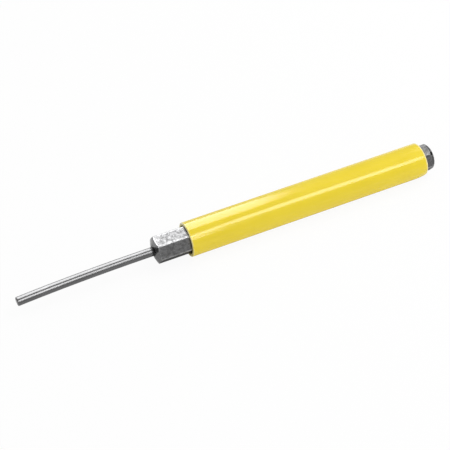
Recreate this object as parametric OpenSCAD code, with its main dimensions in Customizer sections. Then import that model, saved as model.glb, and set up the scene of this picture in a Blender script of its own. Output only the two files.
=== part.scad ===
// Pin punch with a cushioned grip: a hexagonal steel stock, a round drive pin
// set into its blunt domed nose, and a round plastic sleeve pushed over it.
// The tool lies along X, its working tip towards -X and its struck end towards
// +X. The origin is midway along it, on the surface that it lies on.

/* [Stock] */
// Width of the hexagonal stock across its flats
stock_flats = 11.11; // [8:0.01:16]
// How much the stock's long edges are broken, measured at a corner
edge_break = 0.115; // [0.05:0.005:0.3]
// Length of bare stock in front of the sleeve, from the nose
neck_reach = 15.8; // [8:0.05:30]
// Length of bare stock behind the sleeve, to the struck face
head_reach = 4.75; // [3:0.05:15]
// How far the domed nose falls back from its flat to the stock's corners
nose_depth = 1.3; // [0.5:0.05:3]
// Width of the flat ring left on the nose round the pin's seat
nose_land = 0.15; // [0.05:0.05:0.5]
// How far the crowned bevel at the struck end cuts the corners, both ways
head_bevel = 1.27; // [0.4:0.01:2]

/* [Drive pin] */
// Diameter of the drive pin
pin_d = 3.97; // [2:0.01:6]
// Length of the pin in front of the nose
pin_reach = 62; // [25:0.1:100]
// How much thicker all round the pin is left in its seat
shank_step = 0.4; // [0.2:0.05:0.8]
// Radius of the hollow fillet through which the pin thickens at its root
root_fillet = 0.8; // [0.8:0.1:2]
// Depth of the pin's seat in the stock
pin_seat = 20; // [8:1:40]
// Bevel at the pin's working tip
tip_bevel = 0.3; // [0.1:0.05:0.8]
// Bevel at the pin's seated end
seat_bevel = 0.5; // [0.1:0.05:0.8]
// Room left under the seated end of the pin
seat_relief = 0.6; // [0.2:0.1:2]

/* [Grip sleeve] */
// Length of the sleeve
sleeve_len = 114.3; // [60:0.1:160]
// Wall of the sleeve over the stock's corners
sleeve_wall = 1.43; // [0.9:0.01:3]
// Rounding round the sleeve's front mouth
mouth_round = 0.45; // [0.2:0.05:0.8]
// Length over which the sleeve's rear end rounds off
tail_round_len = 3.4; // [1:0.1:8]
// How far the sleeve's rear end draws in
tail_round_drop = 0.8; // [0.1:0.05:0.85]

/* [Fits] */
// Radial room between the pin and its seat
pin_fit = 0.01; // [0:0.005:0.05]
// Radial room between the stock's corners and the sleeve
sleeve_fit = 0.02; // [0:0.005:0.1]

/* [Hidden] */
$fn = 96;

// Sides of the stock, and half of the angle that each one spans
hex_sides = 6;
side_half_angle = 180 / hex_sides;
// The pin's seat ends in a 118 degree drill point
drill_half_angle = 59;
// Steps in each rounded stretch of an outline
round_steps = 8;
// Overrun of the forms that trim the stock's ends
overrun = 1;

stock_corner_r = stock_flats / 2 / cos(side_half_angle);
stock_r = stock_corner_r - edge_break;
stock_len = neck_reach + sleeve_len + head_reach;
pin_r = pin_d / 2;
shank_r = pin_r + shank_step;
seat_r = shank_r + pin_fit;
seat_depth = pin_seat + seat_relief;
root_angle = acos(1 - shank_step / root_fillet);
root_len = root_fillet * sin(root_angle);
sleeve_bore_r = stock_r + sleeve_fit;
sleeve_r = sleeve_bore_r + sleeve_wall;

// Stations along X, and the height of the tool's axis
total_len = pin_reach + stock_len;
tip_x = -total_len / 2;
nose_x = tip_x + pin_reach;
mouth_x = nose_x + neck_reach;
axis_z = sleeve_r;

// Lays a form that stands on Z along the tool's axis, its foot at x
module along_axis(x) {
    translate([x, 0, axis_z])
        rotate([0, 90, 0])
            children();
}

// How far behind an end face of radius face_r the centre of a dome lies that
// meets the stock's corners at the given depth
function dome_centre(face_r, depth) =
    (pow(stock_r, 2) - pow(face_r, 2) + pow(depth, 2)) / (2 * depth);

// Half section of a bar that stands on Y, domed round its foot only
module domed_foot(face_r, depth) {
    centre = dome_centre(face_r, depth);
    translate([0, centre]) {
        circle(r = norm([face_r, centre]));
        square([stock_r + overrun, stock_len]);
    }
}

// The turned form of the stock: a round bar with a domed nose and a crowned
// bevel round its struck face
module stock_turning() {
    rotate_extrude()
        intersection() {
            square([stock_r, stock_len]);
            domed_foot(seat_r + nose_land, nose_depth);
            translate([0, stock_len])
                mirror([0, 1])
                    domed_foot(stock_r - head_bevel, head_bevel);
        }
}

// The drilled hole that seats the pin, with its drill point
module pin_seat_hole() {
    rotate_extrude()
        polygon([
            [0, -overrun],
            [seat_r, -overrun],
            [seat_r, seat_depth],
            [0, seat_depth + seat_r / tan(drill_half_angle)],
        ]);
}

// Hexagonal bar with a flat facing up, turned at both ends, so that the nose
// and the bevel each meet the six flats in an arc
module hex_stock() {
    color([0.55, 0.55, 0.56])
        along_axis(nose_x)
            difference() {
                intersection() {
                    rotate([0, 0, side_half_angle])
                        cylinder(r = stock_corner_r, h = stock_len, $fn = hex_sides);
                    stock_turning();
                }
                pin_seat_hole();
            }
}

// Points of the hollow fillet at the pin's root, up to the nose
root_points = [
    for (i = [0 : round_steps])
        let (a = root_angle * i / round_steps)
            [pin_r + root_fillet * (1 - cos(a)), pin_reach - root_len + root_fillet * sin(a)]
];

// Round pin, ground down in front of the nose and left full in its seat
module drive_pin() {
    pin_len = pin_reach + pin_seat;
    color([0.78, 0.78, 0.8])
        along_axis(tip_x)
            rotate_extrude()
                polygon(concat(
                    [[0, 0], [pin_r - tip_bevel, 0], [pin_r, tip_bevel]],
                    root_points,
                    [
                        [shank_r, pin_len - seat_bevel],
                        [shank_r - seat_bevel, pin_len],
                        [0, pin_len],
                    ]
                ));
}

// Points of a quarter round on a wall of radius r, which draws in by drop over
// the length len, up to its end at height z
function quarter_round(r, z, drop, len) = [
    for (i = [0 : round_steps])
        let (a = 90 * i / round_steps)
            [r - drop * (1 - cos(a)), z - len * (1 - sin(a))]
];

// Plastic tube with a rounded mouth and a rear end that draws in
module grip_sleeve() {
    mouth = quarter_round(sleeve_r, 0, mouth_round, mouth_round);
    tail = quarter_round(sleeve_r, sleeve_len, tail_round_drop, tail_round_len);
    color([0.96, 0.83, 0.24])
        along_axis(mouth_x)
            rotate_extrude()
                polygon(concat(
                    [[sleeve_bore_r, 0]],
                    [for (i = [round_steps : -1 : 0]) [mouth[i][0], -mouth[i][1]]],
                    tail,
                    [[sleeve_bore_r, sleeve_len]]
                ));
}

hex_stock();
drive_pin();
grip_sleeve();
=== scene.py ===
# %% [markdown]
# # A pin punch, dressed around its CAD frame
# A pin punch drives a pin out of its hole. This one is three things: a bar of
# hexagonal steel that is struck at one end, a slim round pin ground to size,
# and a glossy vinyl tube that saves the hand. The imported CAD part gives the
# places and the sizes, and this script gives each piece its fine edges and its
# finish. Every step comes as a short text and then a short piece of code.

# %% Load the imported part
import math

import bmesh
import bpy
from mathutils import Matrix, Vector


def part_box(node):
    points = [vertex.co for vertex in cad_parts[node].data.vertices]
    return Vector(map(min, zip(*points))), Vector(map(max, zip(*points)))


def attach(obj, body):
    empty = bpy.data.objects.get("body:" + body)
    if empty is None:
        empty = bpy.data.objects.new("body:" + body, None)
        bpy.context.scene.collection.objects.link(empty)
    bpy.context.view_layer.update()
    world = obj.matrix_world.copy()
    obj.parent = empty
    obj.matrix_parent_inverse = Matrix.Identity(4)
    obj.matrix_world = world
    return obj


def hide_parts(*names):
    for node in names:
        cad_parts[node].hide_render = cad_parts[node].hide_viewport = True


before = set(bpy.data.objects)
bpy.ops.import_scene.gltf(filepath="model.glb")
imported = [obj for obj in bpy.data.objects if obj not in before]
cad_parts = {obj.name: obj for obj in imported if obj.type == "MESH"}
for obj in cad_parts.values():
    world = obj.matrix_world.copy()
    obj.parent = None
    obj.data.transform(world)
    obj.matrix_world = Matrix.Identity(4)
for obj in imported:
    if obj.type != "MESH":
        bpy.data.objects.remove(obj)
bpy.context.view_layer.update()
print("CAD nodes:", sorted(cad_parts))

# %% [markdown]
# ## Where things are
# Blender works in metres here and a toolmaker thinks in millimetres, so all
# sizes below are in millimetres and one factor turns them into metres. The
# stations along the tool come from the CAD nodes' boxes, so a piece can't drift
# away from the solid that it stands for. What a box can't tell, such as the
# width of the pin's thin stretch, is written down by name. The last values are
# small things about the sleeve that the photograph shows and its solid leaves
# out: its front edge lies a fifth of a millimetre further forward, and its rear
# cut isn't square but leans from the far side to the near one, about a pivot a
# little past halfway. The far side is given by its angle round the axis, from the
# front over the top.

# %% Stations and sizes, in millimetres
MM = 0.001
tip_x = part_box("drive_pin")[0].x / MM
seat_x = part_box("drive_pin")[1].x / MM
nose_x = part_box("hex_stock")[0].x / MM
struck_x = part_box("hex_stock")[1].x / MM
mouth_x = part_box("grip_sleeve")[0].x / MM
tail_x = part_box("grip_sleeve")[1].x / MM
axis_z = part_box("grip_sleeve")[1].z / 2 / MM
half_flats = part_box("hex_stock")[1].z / MM - axis_z
sleeve_r = axis_z
shank_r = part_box("drive_pin")[1].z / MM - axis_z
pin_r = 1.985
stock_r = 6.299
bore_room, seat_room = 0.02, 0.01
bore_r = stock_r + bore_room
seat_r = shank_r + seat_room
front_x = mouth_x - 0.2
far_side = math.radians(141)
tail_lean, tail_pivot = 0.75, 0.55
print(f"tip {tip_x:.2f}, nose {nose_x:.2f}, mouth {mouth_x:.2f}")
print(f"tail {tail_x:.2f}, struck end {struck_x:.2f}")
print(f"half flats {half_flats:.3f}, radii {sleeve_r:.3f} and {shank_r:.3f}")

# %% [markdown]
# ## Turning on a lathe
# All three pieces are round about one axis, so they could be cylinders that are
# scaled and joined, or outlines that are spun. Spinning is what a lathe does:
# half of the section is drawn once, as points of (x, r), and the spin operator
# carries it round the axis. A full spin merges its last step with its first, and
# points on the axis itself fall together, so doubles are merged afterwards.

# %% The lathe
weld = 0.0005


def turned(outline, steps, ring=False):
    """The mesh of an outline of (x, r) that is spun round the axis."""
    bm = bmesh.new()
    points = [bm.verts.new((x * MM, 0, (axis_z + r) * MM)) for x, r in outline]
    ends = points[1:] + points[:1] if ring else points[1:]
    lines = [bm.edges.new(pair) for pair in zip(points, ends)]
    bmesh.ops.spin(
        bm,
        geom=points + lines,
        cent=(0, 0, axis_z * MM),
        axis=(1, 0, 0),
        angle=2 * math.pi,
        steps=steps,
        use_merge=True,
    )
    bmesh.ops.remove_doubles(bm, verts=bm.verts, dist=weld * MM)
    bmesh.ops.recalc_face_normals(bm, faces=bm.faces)
    return bm


def radius(v):
    return math.hypot(v.co.y, v.co.z - axis_z * MM) / MM


def rim(bm, x, r, slack=0.004):
    """The edges of the circle at one corner of the outline."""

    def near(v):
        return abs(v.co.x / MM - x) < slack and abs(radius(v) - r) < slack

    return [e for e in bm.edges if near(e.verts[0]) and near(e.verts[1])]


def rounded(bm, x, r, by, segments=3):
    bmesh.ops.bevel(
        bm,
        geom=rim(bm, x, r),
        offset=by * MM,
        offset_type="OFFSET",
        affect="EDGES",
        segments=segments,
        profile=0.5,
        material=-1,
        clamp_overlap=True,
    )


def steps_between(low, high, count):
    return [low + (high - low) * k / count for k in range(count + 1)]


def arc(x, r, dx, dr, steps, first=0.0, last=90.0):
    """Points of a quarter ellipse about (x, r), from its top to its side."""
    angles = [math.radians(a) for a in steps_between(first, last, steps)]
    return [(x + dx * math.sin(a), r + dr * math.cos(a)) for a in angles]


print("helpers ready: turned, rounded, arc")

# %% [markdown]
# ## From a mesh to a piece
# A finished piece is an object at the origin with its place in its mesh. Smooth
# shading hides the facets of a spun form, and an edge that turns by more than
# the given angle stays crisp. Each piece rides on the tool's one body, hides the
# CAD solid that it stands for, and wears the finishes that it is given.

# %% Making a piece
def piece(name, bm, node, materials, crisp=40):
    for face in bm.faces:
        face.smooth = True
    for edge in bm.edges:
        edge.smooth = edge.calc_face_angle(0) < math.radians(crisp)
    mesh = bpy.data.meshes.new(name)
    bm.to_mesh(mesh)
    bm.free()
    obj = bpy.data.objects.new(name, mesh)
    bpy.context.scene.collection.objects.link(obj)
    for m in materials:
        mesh.materials.append(m)
    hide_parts(node)
    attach(obj, "root")
    print(f"{name}: {len(mesh.polygons)} faces")


print("helper ready: piece")

# %% [markdown]
# ## Finishes
# A finish is a small graph of nodes. The helper below starts one with the
# settings that are the same all over the surface, and adds nodes by type. The
# patterns read Object coordinates, which are metres on the tool itself, so a
# noise scale of 1000 gives marks about a millimetre wide and they stay where
# they are when the view changes.

# %% Starting a finish
class Finish:
    def __init__(self, name, **sockets):
        self.material = bpy.data.materials.new(name)
        self.material.use_nodes = True
        self.tree = self.material.node_tree
        self.shader = self.tree.nodes["Principled BSDF"]
        for socket, value in sockets.items():
            self.shader.inputs[socket.replace("_", " ")].default_value = value
        self.place = self.add("ShaderNodeTexCoord").outputs["Object"]

    def add(self, kind, inputs=(), **settings):
        """A node of this type, with each input linked to a socket or set to a value."""
        node = self.tree.nodes.new(kind)
        for key, value in settings.items():
            setattr(node, key, value)
        for socket, value in dict(inputs).items():
            if isinstance(value, bpy.types.NodeSocket):
                self.tree.links.new(value, node.inputs[socket])
            else:
                node.inputs[socket].default_value = value
        return node

    def moved(self, location=(0, 0, 0), scale=(1, 1, 1)):
        """The place on the tool, shifted or stretched for an uneven pattern."""
        inputs = {"Vector": self.place, "Location": location, "Scale": scale}
        return self.add("ShaderNodeMapping", inputs).outputs["Vector"]

    def noise(self, scale, detail=3.0, roughness=0.5, where=None, distortion=0.0):
        inputs = {
            "Vector": where or self.place,
            "Scale": scale,
            "Detail": detail,
            "Roughness": roughness,
            "Distortion": distortion,
        }
        return self.add("ShaderNodeTexNoise", inputs).outputs["Fac"]

    def vector(self, operation, *values):
        """A number that is worked out from one or two vectors."""
        inputs = dict(enumerate(values))
        node = self.add("ShaderNodeVectorMath", inputs, operation=operation)
        return node.outputs["Value"]

    def from_axis(self):
        """The distance from the tool's axis."""
        across = self.moved(location=(0, 0, -axis_z * MM), scale=(0, 1, 1))
        return self.vector("LENGTH", across)

    def bands(self, value, scale):
        """A noise that changes with one value alone."""
        inputs = {"W": value, "Scale": scale, "Detail": 2.0}
        node = self.add("ShaderNodeTexNoise", inputs, noise_dimensions="1D")
        return node.outputs["Fac"]

    def along(self, way=(1, 0, 0)):
        """How far a point lies in one direction, which is the axis as a rule."""
        return self.vector("DOT_PRODUCT", self.place, way)

    def from_point(self, x, y=0, z=0):
        """The distance from a point given by its places along and off the axis."""
        return self.vector("DISTANCE", self.place, (x * MM, y * MM, (axis_z + z) * MM))

    def math(self, operation, *values):
        inputs = dict(enumerate(values))
        return self.add("ShaderNodeMath", inputs, operation=operation).outputs[0]

    def spread(self, value, low, high, to_low, to_high):
        """The value with the range low to high, in metres or shares, made another."""
        inputs = {
            "Value": value,
            "From Min": low,
            "From Max": high,
            "To Min": to_low,
            "To Max": to_high,
        }
        return self.add("ShaderNodeMapRange", inputs).outputs["Result"]

    def ramp(self, value, *stops):
        """A colour that blends from stop to stop, each a (value, colour)."""
        node = self.add("ShaderNodeValToRGB", {"Fac": value})
        row = node.color_ramp.elements
        while len(row) < len(stops):
            row.new(0.5)
        for element, (at, colour) in zip(row, stops):
            element.position = at
            element.color = (*colour, 1)
        return node.outputs["Color"]

    def bump(self, height, strength, distance, normal=None):
        inputs = {"Height": height, "Strength": strength, "Distance": distance * MM}
        if normal:
            inputs["Normal"] = normal
        return self.add("ShaderNodeBump", inputs).outputs["Normal"]

    def wear(self, **links):
        """Joins the patterns to the shader's sockets; gives the material."""
        for socket, value in links.items():
            self.tree.links.new(value, self.shader.inputs[socket.replace("_", " ")])
        return self.material


print("helper ready: Finish")

# %% [markdown]
# ## The two domes of the stock
# Both ends of the bar are turned to a part of a sphere. Where such a sphere
# meets the flats it leaves six arcs, and the steel's finish paints those arcs
# bright, partly as wear and partly as a painted highlight. So the spheres are
# worked out here, before the steel's finish, which asks how close a point is to
# them. A sphere that meets an end face at one radius and the bar's corners at a
# given depth has its centre on the axis. One small painted black spot, a painted
# dark reflection, sits where the crown cuts a corner of the bar, and it is given
# here by its place along and off the axis, its size and the width of its soft edge.

# %% The spheres
dome_depth = 1.3
land_r = seat_r + 0.15
crown_depth = 1.27
face_r = stock_r - crown_depth


def sphere(face, depth):
    """The distance of the centre from the end face, and the sphere's radius."""
    centre = (stock_r**2 - face**2 + depth**2) / (2 * depth)
    return centre, math.hypot(face, centre)


nose_offset, nose_reach = sphere(land_r, dome_depth)
crown_offset, crown_reach = sphere(face_r, crown_depth)
nose_centre = nose_x + nose_offset
crown_centre = struck_x - crown_offset
# A painted black spot: a painted dark reflection at one corner of the crown.
painted_spot = (struck_x - 0.95, -3.1, 5.3)
painted_spot_r, painted_spot_edge = 0.75, 0.25
print(f"nose sphere {nose_reach:.2f}, crown sphere {crown_reach:.2f}")

# %% [markdown]
# ## The stock's steel
# The bar is drawn hexagonal stock, hardened and blasted, so its flats are dull
# and mottled in patches of half a millimetre to a millimetre. Two noises of
# different size make the patches, and both the colour and the roughness follow
# them, because a patch that is darker is also flatter to the light. Blasted steel
# shines less than polished steel at a glancing angle, hence the tint. A mask of
# the edges is added to the patches and paints the corners bright: partly the
# rub of handling, partly a painted highlight. The turned ends keep the rings that
# the lathe's tool leaves, and the struck end is the duller one. Two painted marks
# darken the steel by place: a painted shade on the nose round the pin, and the
# painted black spot, a painted dark reflection.

# %% Finish of the hexagonal flats
def grey(value):
    return (value, value, value * 1.01)


edge_mark_from, edge_mark_full = 6.1, 6.25


# Wear and painted highlight: this mask brightens the bar's edges and end arcs.
def edge_wear_and_painted_highlight(f):
    """1 along the bar's long corners and the arcs at its ends, 0 on the flats."""
    mask = f.spread(f.from_axis(), edge_mark_from * MM, edge_mark_full * MM, 0, 1)
    nose = (nose_centre, nose_reach, "LESS_THAN")
    crown = (crown_centre, crown_reach, "GREATER_THAN")
    for centre, reach, beyond in (nose, crown):
        away = f.from_point(centre)
        near = f.spread(away, (reach - 0.65) * MM, (reach - 0.3) * MM, 0, 1)
        outward = f.math(beyond, f.along(), centre * MM)
        mask = f.math("MAXIMUM", mask, f.math("MULTIPLY", near, outward))
    return mask


def with_painted_spot(f, colour, rough):
    """The colour and roughness with one painted black spot, a painted dark reflection.
    """
    away = f.from_point(*painted_spot)
    painted_black = f.spread(away, painted_spot_r * MM, (painted_spot_r + painted_spot_edge) * MM, 1, 0)
    inputs = {0: colour, "Scale": f.math("SUBTRACT", 1.0, painted_black)}
    scaled = f.add("ShaderNodeVectorMath", inputs, operation="SCALE")
    return scaled.outputs["Vector"], f.math("MULTIPLY_ADD", painted_black, 0.5, rough)


def mottled_steel():
    glancing = (0.5, 0.5, 0.5, 1)
    f = Finish("stock_blasted_steel", Metallic=1.0, Specular_Tint=glancing)
    coarse = f.noise(750, detail=3.0, roughness=0.65, distortion=0.6)
    fine = f.noise(3600, detail=2.0)
    both = f.math("MULTIPLY_ADD", coarse, 0.65, f.math("MULTIPLY", fine, 0.35))
    patch = f.spread(both, 0.41, 0.59, 0.0, 0.6)
    broken = f.spread(fine, 0.3, 0.6, 0.25, 0.7)
    # The edges are made bright here, partly as wear and partly as a painted highlight.
    shine = f.math("MULTIPLY_ADD", edge_wear_and_painted_highlight(f), broken, patch)
    dull, middle = (0.0, grey(0.104)), (0.3, grey(0.156))
    bright, edge_bright = (0.6, grey(0.218)), (1.0, grey(0.35))
    colour = f.ramp(shine, dull, middle, bright, edge_bright)
    colour, rough = with_painted_spot(f, colour, f.spread(shine, 0.0, 1.0, 0.44, 0.24))
    return f.wear(Base_Color=colour, Roughness=rough, Normal=f.bump(both, 0.4, 0.04))


def turned_steel(name, dull, bright, painted_shade_depth):
    f = Finish(name, Metallic=1.0)
    rings = f.bands(f.from_axis(), 2200)
    # Painted shade: the nose's colour darkens in a ring round the pin's root.
    inner, outer = (land_r + 0.3) * MM, (land_r + 1.7) * MM
    painted_nose_shade = f.spread(f.from_axis(), inner, outer, painted_shade_depth, 0)
    patch = f.math("SUBTRACT", f.noise(1500, detail=2.0), painted_nose_shade)
    colour = f.ramp(patch, (0.0, grey(0.02)), (0.25, grey(dull)), (0.75, grey(bright)))
    colour, rough = with_painted_spot(f, colour, f.spread(rings, 0.3, 0.7, 0.14, 0.24))
    return f.wear(Base_Color=colour, Roughness=rough, Normal=f.bump(rings, 0.25, 0.01))


flat_finish = mottled_steel()
nose_finish = turned_steel("stock_turned_nose", 0.18, 0.27, 0.35)
crown_finish = turned_steel("stock_struck_crown", 0.09, 0.19, 0)
print("finishes:", flat_finish.name, nose_finish.name, crown_finish.name)

# %% [markdown]
# ## The pin's steel
# The pin is ground round to size, which leaves fine marks across its length.
# They show as faint bands in the light, and the roughness changes a little from
# band to band. A noise that is drawn out round the pin gives the marks. The
# colour darkens in the fillet at the root, a painted shade.

# %% Finish of the ground pin
def ground_steel():
    f = Finish("pin_ground_steel", Metallic=1.0)
    marks = f.noise(2600, detail=2.0, where=f.moved(scale=(1, 0.1, 0.1)))
    cloud = f.noise(420, detail=3.0, where=f.moved(scale=(0.35, 1, 1)))
    # Painted shade: the colour darkens towards the pin's root at the nose.
    root = f.spread(f.along(), (nose_x - 1.4) * MM, (nose_x - 0.6) * MM, 0, 0.6)
    tone_less_painted_root_shade = f.math("SUBTRACT", cloud, root)
    colour = f.ramp(tone_less_painted_root_shade, (0.0, grey(0.03)), (0.3, grey(0.14)), (0.7, grey(0.165)))
    rough = f.spread(marks, 0.3, 0.7, 0.24, 0.3)
    return f.wear(Base_Color=colour, Roughness=rough, Normal=f.bump(marks, 0.08, 0.003))


pin_finish = ground_steel()
print("finish:", pin_finish.name)

# %% [markdown]
# ## The sleeve's vinyl
# The tube is extruded vinyl: opaque, bright yellow and glossy, with the slight
# unevenness of a soft plastic. A broad noise moves its colour a little, a fine
# one gives it its skin, and a middle one keeps the long highlight from being as
# straight as on glass. Its two rims are pale, partly as scuffs where it is pushed
# against things and partly as a painted highlight along the edge. The pale band
# at the rear follows the leaning cut, so it is measured square to that cut. Where
# the tube was cut to length it is matt. Its cut face and the bore carry painted
# shade: darker towards the bore and darkest in it. The cut face also carries
# painted light: it is paler towards the top.

# %% Finish of the sleeve
def vinyl():
    f = Finish("sleeve_glossy_vinyl", Metallic=0.0, IOR=1.54)
    cloud = f.noise(90, detail=3.0)
    skin = f.noise(900, detail=2.0)
    # Pale rims: partly scuffs, partly a painted highlight along the edge.
    front = f.spread(f.along(), (front_x + 0.1) * MM, (front_x + 0.7) * MM, 0.5, 0)
    slope = tail_lean / 2 / sleeve_r
    square_to_cut = (1, -math.cos(far_side) * slope, math.sin(far_side) * slope)
    cut_x = tail_x + tail_lean * (0.5 - tail_pivot) + square_to_cut[2] * axis_z
    near_cut = f.along(square_to_cut)
    back = f.spread(near_cut, (cut_x - 0.9) * MM, (cut_x - 0.2) * MM, 0, 1)
    ends = f.math("ADD", front, back)
    scuff_and_painted_rim_highlight = f.math("MULTIPLY", ends, f.spread(skin, 0.3, 0.6, 0.3, 0.7))
    tone = f.math("MULTIPLY_ADD", cloud, 0.5, scuff_and_painted_rim_highlight)
    yellow, warm, pale = (0.84, 0.645, 0.016), (0.875, 0.68, 0.024), (0.96, 0.86, 0.45)
    colour = f.ramp(tone, (0.15, yellow), (0.35, warm), (0.9, pale))
    wave = f.noise(120, detail=1.0, where=f.moved(scale=(0.5, 1, 1)))
    rough = f.spread(skin, 0.3, 0.7, 0.13, 0.2)
    normal = f.bump(wave, 0.12, 0.1, f.bump(skin, 0.06, 0.02))
    return f.wear(Base_Color=colour, Roughness=rough, Normal=normal)


def cut_vinyl():
    f = Finish("sleeve_cut_end", Metallic=0.0, IOR=1.54)
    saw = f.noise(2200, detail=3.0, where=f.moved(scale=(1, 0.15, 1)))
    # Painted shade: darker towards the bore, darkest in the bore itself.
    out = f.spread(f.from_axis(), bore_r * MM, sleeve_r * MM, 0.0, 0.7)
    # Painted light: the cut face is paler towards the top.
    high = f.spread(f.along((0, 0, 1)), axis_z * MM, (axis_z + 5) * MM, 1.0, 1.8)
    tone = f.math("MULTIPLY_ADD", saw, 0.2, f.math("MULTIPLY", out, high))
    dark, middle = (0.2, 0.155, 0.02), (0.6, 0.52, 0.17)
    light, pale = (0.82, 0.72, 0.33), (0.95, 0.93, 0.78)
    colour = f.ramp(tone, (0.1, dark), (0.35, middle), (0.75, light), (1.0, pale))
    rough = f.spread(saw, 0.3, 0.7, 0.5, 0.7)
    return f.wear(Base_Color=colour, Roughness=rough, Normal=f.bump(saw, 0.3, 0.02))


sleeve_finish, cut_finish = vinyl(), cut_vinyl()
print("finishes:", sleeve_finish.name, cut_finish.name)

# %% [markdown]
# ## The stock, turned
# The real bar is hexagonal first and then turned round at its ends. A mesh can
# be made like that, as a six-sided bar that is cut by round forms, but the cuts
# leave slivers that no bevel can round. So it is made the other way about: the
# bar is turned first, with its domed nose and its crowned bevel, and its flats
# come afterwards. A few rings more than the form needs, near both ends, keep the
# shading even. The seat for the pin ends in the cone that a drill leaves.

# %% The stock's turned outline
seat_depth = 20.6
drill_point = math.radians(118)
drill_tip = seat_r / math.tan(drill_point / 2)


def on_sphere(centre_x, reach, radii, way):
    return [(centre_x - way * math.sqrt(reach**2 - r * r), r) for r in radii]


nose_radii = steps_between(land_r, 5.35, 12) + steps_between(5.35, stock_r, 26)[1:]
crown_radii = steps_between(face_r, 5.4, 5) + steps_between(5.4, stock_r, 30)[1:]
stock_outline = [
    (nose_x + seat_depth + drill_tip, 0),
    (nose_x + seat_depth, seat_r),
    (nose_x, seat_r),
    *on_sphere(nose_centre, nose_reach, nose_radii, 1),
    (nose_x + 1.6, stock_r),
    (nose_x + 2.2, stock_r),
    (struck_x - 2.2, stock_r),
    (struck_x - 1.45, stock_r),
    *reversed(on_sphere(crown_centre, crown_reach, crown_radii, -1)),
    (struck_x, 4.2),
    (struck_x, 2.0),
    (struck_x, 0),
]
print(f"{len(stock_outline)} points in the stock's outline")

# %% [markdown]
# ## The stock, pressed flat
# A real bar gets its flats from the die that it is drawn through, and here they
# are pressed in too. A point that stands proud of a flat moves back to it, and
# within a few hundredths of a millimetre the step is softened, which breaks every
# edge. The crown's edge and the narrow ring round the pin are rounded before
# that. Each face then takes one of the three finishes by the way that it faces.

# %% Press the six flats
soft = 0.045


def pressed(height):
    """How high a point ends up over a flat, when it starts at this height."""
    if height < -soft:
        return height
    if height > soft:
        return 0.0
    return -((soft - height) ** 2) / (4 * soft)


stock = turned(stock_outline, 360)
face_round, land_round = 0.18, 0.05
rounded(stock, struck_x, face_r, face_round)
rounded(stock, nose_x, land_r, land_round, 2)
for k in range(6):
    out = Vector((0, math.sin(k * math.pi / 3), math.cos(k * math.pi / 3)))
    for v in stock.verts:
        height = (v.co - Vector((0, 0, axis_z * MM))).dot(out) / MM - half_flats
        if height > -soft:
            v.co += out * (pressed(height) - height) * MM
end_slant = 0.15
for face in stock.faces:
    if face.normal.x < -end_slant:
        face.material_index = 1
    elif face.normal.x > end_slant:
        face.material_index = 2
stock_finishes = [flat_finish, nose_finish, crown_finish]
piece("hexagonal_stock", stock, "hex_stock", stock_finishes, 60)

# %% [markdown]
# ## The drive pin
# The pin is a plain spun form: a bevelled tip, the thin working length, a hollow
# fillet that thickens it up to the nose, and the thick end inside the stock.
# Its corners are rounded with the bevel operator, ring by ring, because light
# on a real ground edge never breaks at a line of no width.

# %% The pin
tip_bevel = 0.3
seat_bevel = 0.5
root_fillet = 0.8
root_angle = math.degrees(math.acos(1 - (shank_r - pin_r) / root_fillet))
root_x = nose_x - root_fillet * math.sin(math.radians(root_angle))
length_rings = 30
first_x = tip_x + tip_bevel
stations = steps_between(first_x, root_x, length_rings)[:-1]
working = [(x, pin_r) for x in stations]
root = arc(root_x, pin_r + root_fillet, root_fillet, -root_fillet, 8, 0, root_angle)
pin = turned(
    [
        (tip_x, 0),
        (tip_x, pin_r - tip_bevel),
        *working,
        *root,
        (seat_x - seat_bevel, shank_r),
        (seat_x, shank_r - seat_bevel),
        (seat_x, 0),
    ],
    128,
)
tip_round, side_round = 0.08, 0.12
rounded(pin, tip_x, pin_r - tip_bevel, tip_round)
rounded(pin, tip_x + tip_bevel, pin_r, side_round)

# %% [markdown]
# ## A pin that has been used
# A pin punch is straight when it is made, and the CAD solid is. The one in the
# photograph has been struck a little off its line: over its free length the pin
# bows down towards the viewer, by more than a millimetre at its tip. The rings
# along the pin are there for this. Each section moves across the axis with a
# power of its distance from the nose, and leans with the slope of the curve, so
# the end face stays square to the pin.

# %% Bend the pin
bend = 1.4
bend_power = 2.3
bend_angle = math.radians(-39)
bend_way = Vector((0, -math.cos(bend_angle), math.sin(bend_angle)))
free_length = nose_x - tip_x
for v in pin.verts:
    t = max(0.0, (nose_x - v.co.x / MM) / free_length)
    off_axis = (v.co - Vector((v.co.x, 0, axis_z * MM))).dot(bend_way)
    v.co.x += off_axis * bend * bend_power * t ** (bend_power - 1) / free_length
    v.co += bend_way * bend * t**bend_power * MM
piece("ground_pin", pin, "drive_pin", [pin_finish], 50)
print(f"the tip is {bend} mm off the axis")

# %% [markdown]
# ## The sleeve
# The tube is a closed ring in section, so its outline ends where it starts. Its
# front corner is a small round, and its rear end draws in over a few
# millimetres, which is a quarter of an ellipse. The bore is round and the bar is
# not, so six thin dark gaps show between them at the mouth, as on the real one.
# The rear end has worn unevenly: it draws in over six millimetres on the side of
# the viewer and is nearly sharp on the far side. So the points of that quarter
# ellipse are moved by their place round the axis, and then all of the end leans.
# The end faces and the bore take the matt finish of a cut, with its painted shade and
# light.

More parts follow.
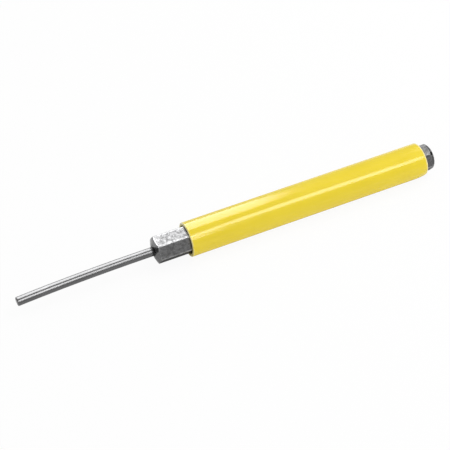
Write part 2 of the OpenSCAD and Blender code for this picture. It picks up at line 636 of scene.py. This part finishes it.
# %% The sleeve
mouth_round = 0.2
mouth_r = sleeve_r - mouth_round
mouth = arc(front_x + mouth_round, mouth_r, -mouth_round, mouth_round, 6)
tail_length, tail_drop = 3.4, 0.8
tail = arc(tail_x - tail_length, sleeve_r - tail_drop, tail_length, tail_drop, 14)
bore = [(tail_x, bore_r), (front_x, bore_r)]
sleeve = turned([*bore, *reversed(mouth), *tail], 160, ring=True)
tail_shortest, tail_longest = 0.3, 6.0
tail_least_drop = 0.15
slack = 0.01
for v in sleeve.verts:
    r = radius(v)
    back = tail_x - v.co.x / MM
    turn = math.atan2(v.co.z - axis_z * MM, -v.co.y) - far_side
    near = (1 - math.cos(turn)) / 2
    if back < tail_length + slack and r > sleeve_r - tail_drop - slack:
        back *= (tail_shortest + (tail_longest - tail_shortest) * near**3) / tail_length
        drop = tail_least_drop + (tail_drop - tail_least_drop) * near
        shrink = (sleeve_r - (sleeve_r - r) * drop / tail_drop) / r
        v.co.y *= shrink
        v.co.z = (v.co.z - axis_z * MM) * shrink + axis_z * MM
    lean = tail_lean * (near - tail_pivot) * max(0.0, 1 - back / tail_longest)
    v.co.x = (tail_x - back + lean) * MM
for face in sleeve.faces:
    inside = radius(face.verts[0]) < bore_r + slack
    square = abs(face.normal.x) > 0.98
    face.material_index = 1 if inside or square else 0
sleeve_finishes = [sleeve_finish, cut_finish]
piece("vinyl_sleeve", sleeve, "grip_sleeve", sleeve_finishes)

# %% [markdown]
# ## Floor
# The tool lies on a plain pale sweep. A brighter lamp could burn it out to white,
# but it would burn out the tool as well. So the camera sees the paper as nearly
# white of its own accord, which is what the Light Path node is for, and the
# little that is left of its shading keeps a soft shadow under the tool. What the
# steel mirrors is nearly the paper as it is lit.

# %% The floor
def white_for_the_eye(tree, share, mirrored):
    """A factor: share for camera rays, mirrored for what metal and glass show."""
    path = tree.nodes.new("ShaderNodeLightPath")
    both = tree.nodes.new("ShaderNodeMath")
    both.operation = "MAXIMUM"
    tree.links.new(path.outputs["Is Glossy Ray"], both.inputs[0])
    tree.links.new(path.outputs["Is Transmission Ray"], both.inputs[1])
    scaled = tree.nodes.new("ShaderNodeMath")
    scaled.operation = "MULTIPLY"
    scaled.inputs[1].default_value = mirrored
    tree.links.new(both.outputs[0], scaled.inputs[0])
    total = tree.nodes.new("ShaderNodeMath")
    total.operation = "MULTIPLY_ADD"
    total.inputs[1].default_value = share
    tree.links.new(path.outputs["Is Camera Ray"], total.inputs[0])
    tree.links.new(scaled.outputs[0], total.inputs[2])
    return total.outputs[0]


def floor_material():
    m = bpy.data.materials.new("pale_paper")
    m.use_nodes = True
    tree = m.node_tree
    tree.nodes.clear()
    paper = tree.nodes.new("ShaderNodeBsdfDiffuse")
    paper.inputs["Color"].default_value = (0.92, 0.92, 0.92, 1)
    white = tree.nodes.new("ShaderNodeEmission")
    white.inputs["Strength"].default_value = 1.0
    mix = tree.nodes.new("ShaderNodeMixShader")
    seen, mirrored = 0.93, 0.05
    tree.links.new(white_for_the_eye(tree, seen, mirrored), mix.inputs[0])
    tree.links.new(paper.outputs[0], mix.inputs[1])
    tree.links.new(white.outputs[0], mix.inputs[2])
    out = tree.nodes.new("ShaderNodeOutputMaterial")
    tree.links.new(mix.outputs[0], out.inputs["Surface"])
    return m


sheet = bmesh.new()
bmesh.ops.create_grid(sheet, x_segments=1, y_segments=1, size=3.0)
floor_mesh = bpy.data.meshes.new("floor")
sheet.to_mesh(floor_mesh)
sheet.free()
floor = bpy.data.objects.new("floor", floor_mesh)
floor_mesh.materials.append(floor_material())
bpy.context.scene.collection.objects.link(floor)
print("floor laid")

# %% [markdown]
# ## World
# The world is the light of a pale room. A picture of one could give it, but a
# plain white is even and needs no file. The camera sees it as pure white, what
# metal and vinyl mirror is a good deal dimmer, and the rest is the fill, which
# lifts the shaded sides a little.

# %% The world
world = bpy.data.worlds.new("studio")
bpy.context.scene.world = world
world.use_nodes = True
sky = world.node_tree
background = sky.nodes["Background"]
background.inputs["Color"].default_value = (1, 1, 1, 1)
fill, mirrored = 0.7, 0.6
lift = sky.nodes.new("ShaderNodeMath")
lift.operation = "ADD"
lift.inputs[1].default_value = fill
white = white_for_the_eye(sky, 1 - fill, mirrored - fill)
sky.links.new(white, lift.inputs[0])
sky.links.new(lift.outputs[0], background.inputs["Strength"])
print("world fill", fill)

# %% [markdown]
# ## Lamps
# A product photographer lights a shiny tool twice over: big soft lamps for its
# colour, and white cards that only show as reflections in it. Here the key lamp
# overhead and the weak fill in front give the colour and the shadow and are left
# out of reflections, and the cards are left out of the diffuse light. The broad
# card behind makes the top flat shine and lays the pale band along the front half
# of the sleeve, and the rear card carries it on, fainter. The strip draws the fine
# line along the sleeve, and the front strip draws the second line on the pin. A
# panel is placed by the angle at which it stands over the tool's front, seen along
# its axis, and by its distance, its place and its two sizes in millimetres. Its
# radiance comes next, and for one of them a turn about its own middle.

# %% The panels
def panel(name, angle, distance, x, along, across, radiance, turn=0):
    a = math.radians(angle)
    centre = Vector((0, 0, axis_z)) * MM
    place = Vector((x, -math.cos(a) * distance, math.sin(a) * distance + axis_z)) * MM
    lamp = bpy.data.lights.new(name, "AREA")
    lamp.shape = "RECTANGLE"
    lamp.size = along * MM
    lamp.size_y = across * MM
    lamp.energy = radiance * math.pi * lamp.size * lamp.size_y
    obj = bpy.data.objects.new(name, lamp)
    back = Vector((0, place.y, place.z - centre.z)).normalized()
    obj.matrix_world = Matrix.Translation(place) @ Matrix(
        (Vector((1, 0, 0)), back.cross(Vector((1, 0, 0))), back)
    ).transposed().to_4x4() @ Matrix.Rotation(math.radians(turn), 4, "Z")
    obj.visible_camera = False
    bpy.context.scene.collection.objects.link(obj)
    print(f"{name}: {lamp.energy:.2f} W")
    return obj


card = panel("broad_card", 136.5, 500, 7, 314, 613, 5.3)
rear_card = panel("rear_card", 129, 500, 460, 220, 300, 3.8)
strip = panel("strip_card", 60.3, 600, 240, 335, 198, 5.5, -19)
front_strip = panel("front_strip", 50, 600, -31, 204, 320, 5.9)
for lamp in card, rear_card, strip, front_strip:
    lamp.visible_diffuse = False
key = panel("soft_key", 92, 700, 500, 600, 600, 2.8)
front_fill = panel("front_fill", 5, 700, 60, 600, 300, 0.7)
for lamp in key, front_fill:
    lamp.visible_glossy = False

# %% [markdown]
# ## Camera
# The photograph was taken from the front and above, a little towards the tip,
# with a long lens. The angles, the distance and the lens come from solving the
# perspective of the measured outline. The aim is given in millimetres to the
# right of the centre of the pin's tip and above it, as the camera sees them.

# %% The camera
azimuth, elevation = math.radians(-24.76), math.radians(48.30)
focal_px, frame_px, sensor = 1592.29, 450, 36.0
back = Vector(
    (
        math.sin(azimuth) * math.cos(elevation),
        -math.cos(azimuth) * math.cos(elevation),
        math.sin(elevation),
    )
)
right = Vector((math.cos(azimuth), math.sin(azimuth), 0))
up = back.cross(right)
aim_right, aim_up, camera_away = 86.99, 30.62, 661.57
aim = Vector((tip_x, 0, axis_z)) + right * aim_right + up * aim_up
camera_data = bpy.data.cameras.new("camera")
camera_data.sensor_width = sensor
camera_data.lens = focal_px / frame_px * sensor
camera_data.clip_start, camera_data.clip_end = 0.01, 20
camera = bpy.data.objects.new("camera", camera_data)
camera.matrix_world = Matrix.Translation((aim + back * camera_away) * MM) @ Matrix(
    (right, up, back)
).transposed().to_4x4()
bpy.context.scene.collection.objects.link(camera)
bpy.context.scene.camera = camera
bpy.context.scene.view_settings.view_transform = "Standard"
print(f"lens {camera_data.lens:.1f} mm, aim {tuple(round(c, 2) for c in aim)}")

# %% [markdown]
# ## The size
# The looks must not change the tool's size.

# %% Sizes and finish
print("the tool is dressed")
